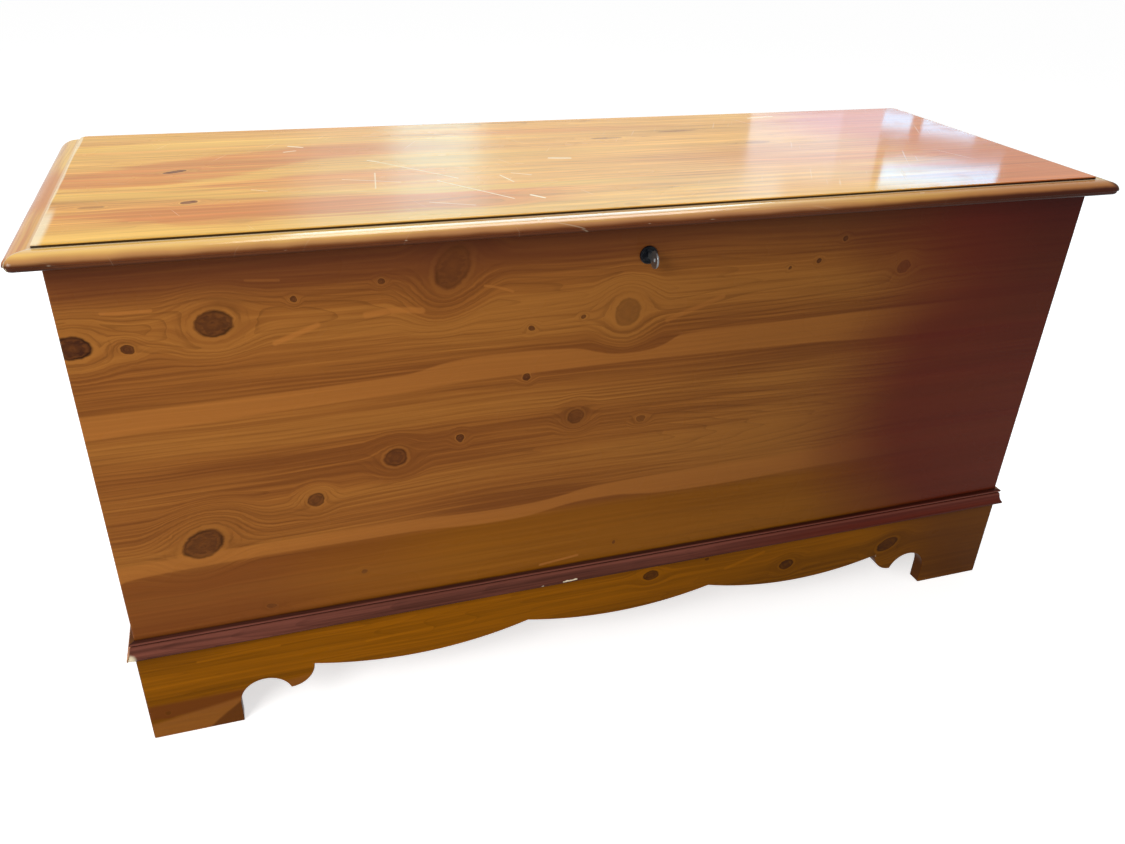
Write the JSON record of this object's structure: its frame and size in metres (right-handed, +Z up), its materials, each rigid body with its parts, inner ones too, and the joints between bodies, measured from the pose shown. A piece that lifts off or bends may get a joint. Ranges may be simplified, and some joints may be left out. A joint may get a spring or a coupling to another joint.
{
  "type": "blanket chest",
  "caption": "Cedar blanket chest with a hinged raised-panel lid, folding lid stays, a keyed front lock, base moulding and a scalloped plinth on bracket feet.",
  "frame": {"origin": "centre of the overall footprint, on the floor under the feet", "axes": "+X along the front towards the right-hand end, +Y from the front towards the hinges, +Z up; the front with the lock faces -Y"},
  "size_m": [1.2128, 0.4422, 0.6036],
  "materials": {
    "varnished_cedar": "satin varnish over knotty red cedar",
    "lid_cedar": "glossy worn varnish over knotty red cedar",
    "moulding_cedar": "satin varnish, red-brown",
    "bare_cedar": "planed, unvarnished cedar",
    "brass": "brass plate, slightly dulled",
    "steel": "nickel plate",
    "black_lock": "black, satin"
  },
  "bodies": {
    "chest": {"front_panel": "varnished_cedar", "back_panel": "bare_cedar", "left_end_panel": "varnished_cedar", "right_end_panel": "varnished_cedar", "floor_board_1": "bare_cedar", "floor_board_2": "bare_cedar", "floor_board_3": "bare_cedar", "floor_board_4": "bare_cedar", "floor_cleat_front": "bare_cedar", "floor_cleat_back": "bare_cedar", "floor_cleat_left": "bare_cedar", "floor_cleat_right": "bare_cedar", "plinth_front": "varnished_cedar", "plinth_back": "bare_cedar", "plinth_left": "varnished_cedar", "plinth_right": "varnished_cedar", "corner_block_front_left": "bare_cedar", "corner_block_front_right": "bare_cedar", "corner_block_back_left": "bare_cedar", "corner_block_back_right": "bare_cedar", "base_moulding_front": "moulding_cedar", "base_moulding_left": "moulding_cedar", "base_moulding_right": "moulding_cedar", "hinge_body_leaf_left": "brass", "hinge_body_leaf_right": "brass", "hinge_pin_left": "brass", "hinge_pin_right": "brass", "stay_body_bracket_left": "brass", "stay_body_bracket_right": "brass", "stay_body_rivet_left": "brass", "stay_body_rivet_right": "brass", "lock_housing": "black_lock", "lock_nut": "steel"},
    "lid": {"lid_panel": "lid_cedar", "lid_moulding_front": "lid_cedar", "lid_moulding_left": "lid_cedar", "lid_moulding_right": "lid_cedar", "lid_batten_left": "bare_cedar", "lid_batten_right": "bare_cedar", "hinge_lid_leaf_left": "brass", "hinge_lid_leaf_right": "brass", "stay_lid_bracket_left": "brass", "stay_lid_bracket_right": "brass", "stay_lid_rivet_left": "brass", "stay_lid_rivet_right": "brass", "strike": "brass"},
    "left_lower_arm": {"stay_lower_arm_left": "brass", "stay_elbow_rivet_left": "brass"},
    "left_upper_arm": {"stay_upper_arm_left": "brass"},
    "right_lower_arm": {"stay_lower_arm_right": "brass", "stay_elbow_rivet_right": "brass"},
    "right_upper_arm": {"stay_upper_arm_right": "brass"},
    "lock_plug": {"lock_plug": "black_lock", "lock_cam": "steel", "lock_cam_screw": "steel"},
    "key": {"key": "steel"}
  },
  "joints": [
    {"name": "lid_hinge", "type": "hinge", "parent": "chest", "child": "lid", "pos_m": [0, 0.2175, 0.5855], "axis": [-1, 0, 0], "range_deg": [0, 100]},
    {"name": "left_lower_stay", "type": "hinge", "parent": "chest", "child": "left_lower_arm", "pos_m": [-0.5555, 0.1335, 0.4045], "axis": [-1, 0, 0], "range_deg": [0, 100]},
    {"name": "left_upper_stay", "type": "hinge", "parent": "lid", "child": "left_upper_arm", "pos_m": [-0.5555, 0.0175, 0.5753], "axis": [-1, 0, 0], "range_deg": [-100, 0]},
    {"name": "right_lower_stay", "type": "hinge", "parent": "chest", "child": "right_lower_arm", "pos_m": [0.5555, 0.1335, 0.4045], "axis": [-1, 0, 0], "range_deg": [0, 100]},
    {"name": "right_upper_stay", "type": "hinge", "parent": "lid", "child": "right_upper_arm", "pos_m": [0.5555, 0.0175, 0.5753], "axis": [-1, 0, 0], "range_deg": [-100, 0]},
    {"name": "lock_turn", "type": "hinge", "parent": "chest", "child": "lock_plug", "pos_m": [0, -0.1944, 0.5485], "axis": [0, 1, 0], "range_deg": [0, 90]},
    {"name": "key_slide", "type": "slide", "parent": "lock_plug", "child": "key", "axis": [0, -1, 0], "range_m": [0, 0.02]}
  ],
  "couplings": [
    {"joint": "left_lower_stay", "follows": "lid_hinge", "ratio": 1},
    {"joint": "left_upper_stay", "follows": "lid_hinge", "ratio": -1},
    {"joint": "right_lower_stay", "follows": "lid_hinge", "ratio": 1},
    {"joint": "right_upper_stay", "follows": "lid_hinge", "ratio": -1}
  ]
}
